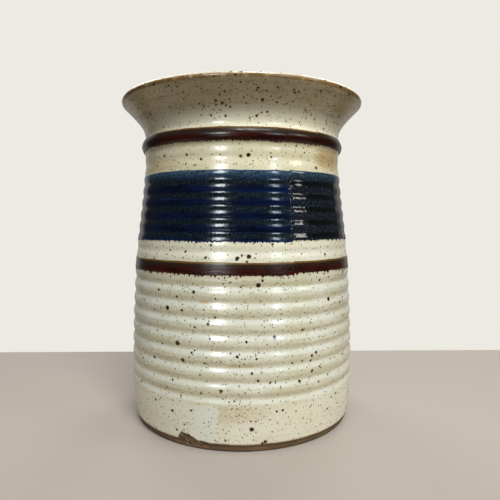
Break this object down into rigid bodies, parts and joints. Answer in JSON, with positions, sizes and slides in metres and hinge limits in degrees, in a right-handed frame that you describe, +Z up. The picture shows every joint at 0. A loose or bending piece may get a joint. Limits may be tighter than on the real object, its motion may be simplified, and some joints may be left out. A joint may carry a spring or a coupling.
{
  "type": "stoneware vase",
  "caption": "Wheel-thrown stoneware vase with a flared mouth, throwing rings, speckled cream glaze and brushed bands of iron brown and cobalt blue.",
  "frame": {"origin": "centre of the resting face, at the bottom centre of the bounding box", "axes": "+Z up along the axis of revolution, -Y towards the front, where the bare patch at the foot is"},
  "size_m": [0.156, 0.156, 0.204],
  "materials": {
    "fired_clay": "matt toasted brown stoneware, fine sandy grain, unglazed",
    "cream_glaze": "semi-gloss cream glaze with dark brown iron specks, tan where it thins",
    "liner_glaze": "semi-gloss cream glaze with dark brown iron specks",
    "iron_glaze": "satin dark red-brown iron glaze",
    "cobalt_glaze": "glossy dark cobalt blue, breaking to greenish black on the rings"
  },
  "bodies": {
    "root": {"clay_body": "fired_clay", "cream_glaze": "cream_glaze", "liner_glaze": "liner_glaze", "upper_iron_band": "iron_glaze", "cobalt_band": "cobalt_glaze", "lower_iron_band": "iron_glaze"}
  },
  "joints": []
}
